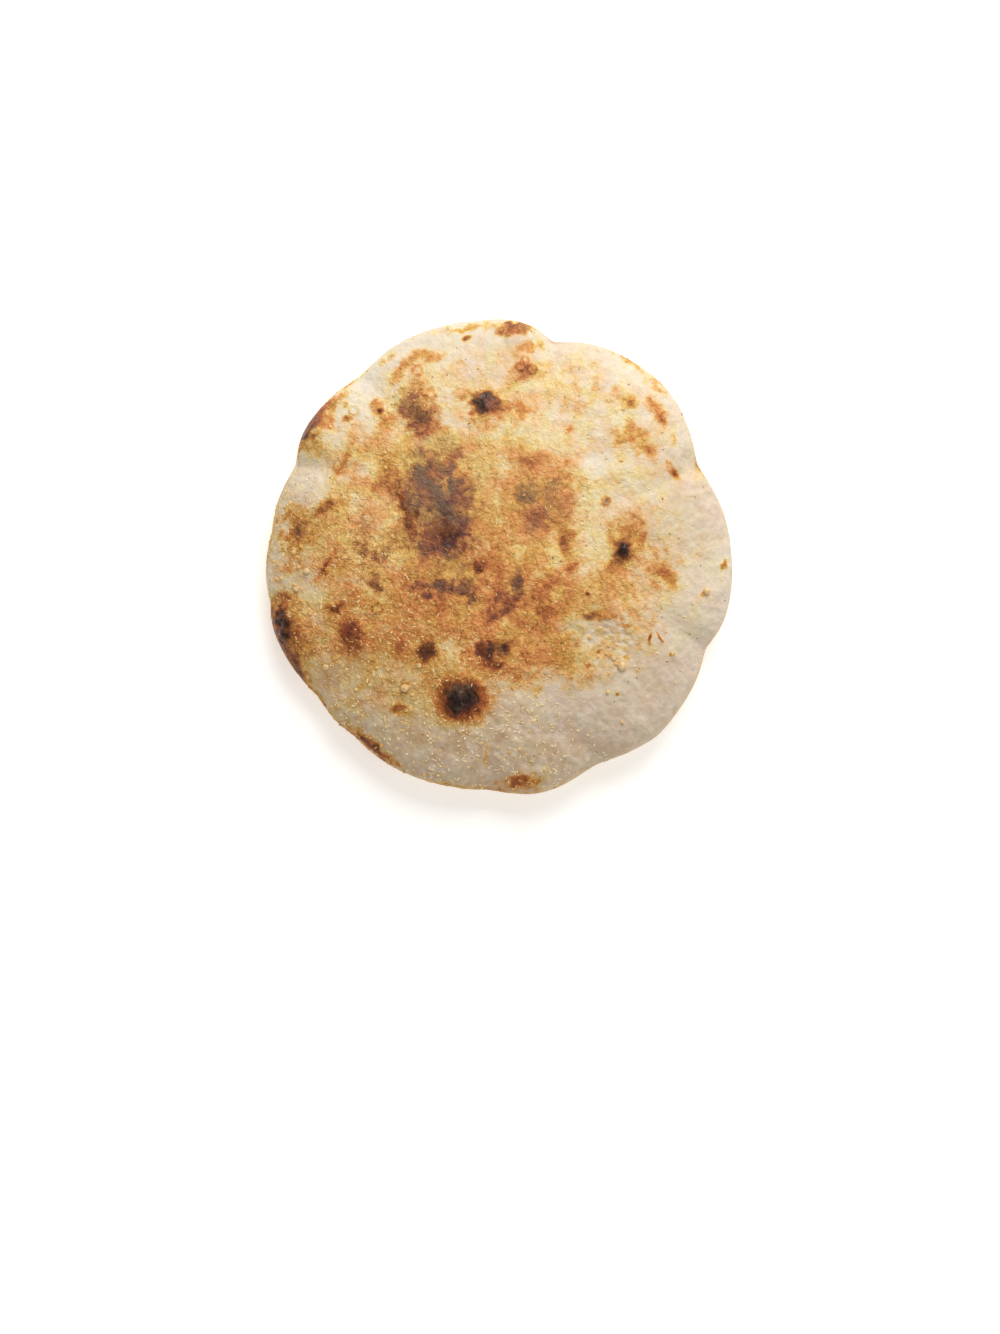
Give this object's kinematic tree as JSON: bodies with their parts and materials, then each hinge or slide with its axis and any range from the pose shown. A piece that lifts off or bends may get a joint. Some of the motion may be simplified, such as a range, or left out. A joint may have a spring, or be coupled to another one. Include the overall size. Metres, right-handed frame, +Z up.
{
  "type": "pita bread",
  "caption": "Round pocket flatbread, part puffed, with a scalloped crimped rim, charred blisters and a flat underside to lie on.",
  "frame": {"origin": "middle of the footprint's bounding box, on the surface that the bread lies on", "axes": "+Z up out of the best-baked face, +Y towards the edge that is uppermost when the bread is held up, +X to the right"},
  "size_m": [0.1558, 0.1586, 0.0256],
  "materials": {
    "crust": "matt baked wheat crust, floury at the rim, golden in the middle, with brown and black char",
    "semolina": "matt coarse semolina grains baked on to the crust"
  },
  "bodies": {
    "root": {"pita": "crust"}
  },
  "joints": []
}
